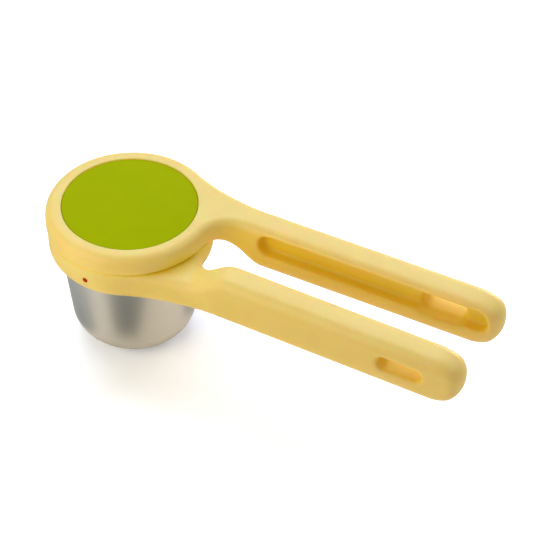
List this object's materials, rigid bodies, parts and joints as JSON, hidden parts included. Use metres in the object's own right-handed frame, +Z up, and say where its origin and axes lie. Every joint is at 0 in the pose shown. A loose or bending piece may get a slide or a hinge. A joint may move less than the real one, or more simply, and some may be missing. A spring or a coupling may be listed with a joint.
{
  "type": "citrus juicer",
  "caption": "Twist-action citrus press: parallel handles turn a head on a helix that drives a ribbed foot straight down into a perforated metal bowl.",
  "frame": {"origin": "centre of the bowl's flat underside, on the press axis", "axes": "+Z up the press axis, +X along the closed handles, +Y towards the upper handle's arm"},
  "size_m": [0.2373, 0.0846, 0.0811],
  "materials": {
    "yellow_nylon": "fine satin moulding",
    "green_nylon": "fine satin moulding",
    "satin_steel": "satin",
    "screw_steel": "plain",
    "natural_acetal": "plain",
    "red_plastic": "plain"
  },
  "bodies": {
    "lower": {"lower_handle": "yellow_nylon", "juice_bowl": "satin_steel", "helix_collar": "natural_acetal", "alignment_dot": "red_plastic"},
    "foot": {"press_foot": "green_nylon", "pivot_screw": "screw_steel", "pivot_washer": "natural_acetal", "thrust_washer": "natural_acetal"},
    "upper": {"upper_handle": "yellow_nylon", "top_disc": "green_nylon", "helix_sleeve": "yellow_nylon", "sleeve_screws": "screw_steel"}
  },
  "joints": [
    {"name": "press_slide", "type": "slide", "parent": "lower", "child": "foot", "axis": [0, 0, 1], "range_m": [0, 0.024]},
    {"name": "handle_turn", "type": "hinge", "parent": "foot", "child": "upper", "pos_m": [0, 0, 0.06], "axis": [0, 0, 1], "range_deg": [0, 120]}
  ],
  "couplings": [
    {"joint": "press_slide", "follows": "handle_turn", "m_per_rad": 0.011459}
  ]
}
